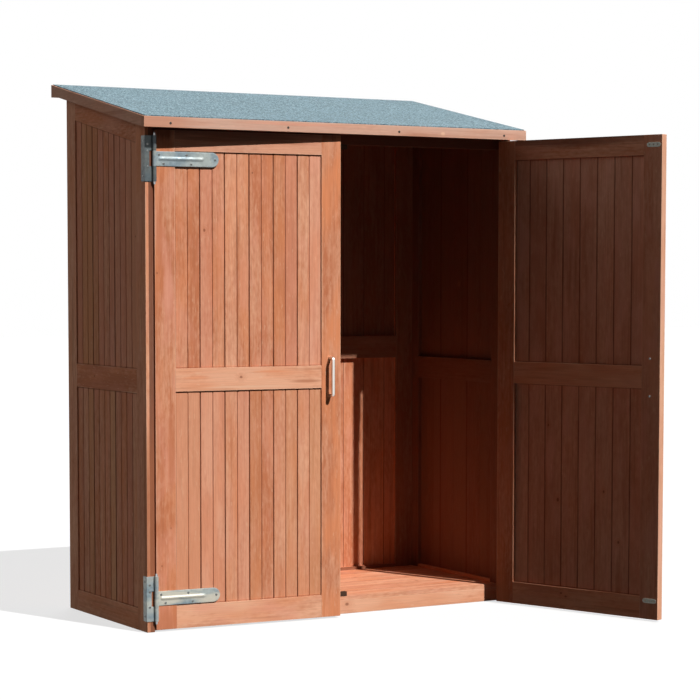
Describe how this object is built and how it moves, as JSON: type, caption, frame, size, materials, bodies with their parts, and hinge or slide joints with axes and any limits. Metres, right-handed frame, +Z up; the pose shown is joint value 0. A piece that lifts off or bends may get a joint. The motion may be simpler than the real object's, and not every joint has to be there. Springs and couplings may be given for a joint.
{
  "type": "garden storage cabinet",
  "caption": "Free-standing timber garden storage cabinet with boarded double doors on ribbed strap hinges and a felted roof that falls to the front.",
  "frame": {"origin": "middle of the cabinet's footprint on the ground, midway between the outer faces of the side panels and between their front and back edges", "axes": "+Z up; the doors face -Y; +X to the right as one looks at the doors"},
  "size_m": [1.6757, 1.3754, 1.8508],
  "materials": {
    "frame_wood": "stained softwood frame, satin",
    "cladding_wood": "stained boards, vee-jointed",
    "board_wood": "stained boards, plain inside",
    "floor_wood": "planed softwood",
    "roof_deck_wood": "sawn boards",
    "roof_felt": "mineral-faced roofing felt, blue-grey",
    "satin_nickel": "satin nickel",
    "zinc_plate": "galvanised, mottled",
    "steel_fastener": "plated steel",
    "catch_plastic": "brown, with magnets"
  },
  "bodies": {
    "cabinet": {"back_boards": "board_wood", "back_bottom_rail": "frame_wood", "back_centre_stile": "frame_wood", "back_left_stile": "frame_wood", "back_mid_rail": "frame_wood", "back_right_stile": "frame_wood", "back_top_rail": "frame_wood", "fascia_screws": "steel_fastener", "floor_boards": "floor_wood", "floor_cross_bearers": "floor_wood", "floor_front_rail": "floor_wood", "floor_rear_rail": "floor_wood", "front_fascia": "frame_wood", "front_header": "frame_wood", "left_barge_board": "frame_wood", "left_hinge_pins": "steel_fastener", "left_post_hinge_leaves": "zinc_plate", "left_side_boards": "board_wood", "left_side_bottom_rail": "frame_wood", "left_side_front_stile": "frame_wood", "left_side_mid_rail": "frame_wood", "left_side_rear_stile": "frame_wood", "left_side_top_rail": "frame_wood", "magnet_catches": "catch_plastic", "post_hinge_screws": "steel_fastener", "rear_fascia": "frame_wood", "right_barge_board": "frame_wood", "right_hinge_pins": "steel_fastener", "right_post_hinge_leaves": "zinc_plate", "right_side_boards": "board_wood", "right_side_bottom_rail": "frame_wood", "right_side_front_stile": "frame_wood", "right_side_mid_rail": "frame_wood", "right_side_rear_stile": "frame_wood", "right_side_top_rail": "frame_wood", "roof_deck": "roof_deck_wood", "roof_felt": "roof_felt"},
    "left_door": {"left_door_bottom_rail": "frame_wood", "left_door_cladding": "cladding_wood", "left_door_free_stile": "frame_wood", "left_door_handle": "satin_nickel", "left_door_hinge_stile": "frame_wood", "left_door_hinge_straps": "zinc_plate", "left_door_lining": "board_wood", "left_door_mid_rail": "frame_wood", "left_door_screws": "steel_fastener", "left_door_strike_plates": "zinc_plate", "left_door_top_rail": "frame_wood"},
    "right_door": {"right_door_bottom_rail": "frame_wood", "right_door_cladding": "cladding_wood", "right_door_free_stile": "frame_wood", "right_door_handle": "satin_nickel", "right_door_hinge_stile": "frame_wood", "right_door_hinge_straps": "zinc_plate", "right_door_lining": "board_wood", "right_door_mid_rail": "frame_wood", "right_door_screws": "steel_fastener", "right_door_strike_plates": "zinc_plate", "right_door_top_rail": "frame_wood"}
  },
  "joints": [
    {"name": "left_door_swing", "type": "hinge", "parent": "cabinet", "child": "left_door", "pos_m": [-0.6905, -0.3275, 0], "axis": [0, 0, -1], "range_deg": [-3, 177]},
    {"name": "right_door_swing", "type": "hinge", "parent": "cabinet", "child": "right_door", "pos_m": [0.6905, -0.3275, 0], "axis": [0, 0, 1], "range_deg": [-109, 71]}
  ]
}
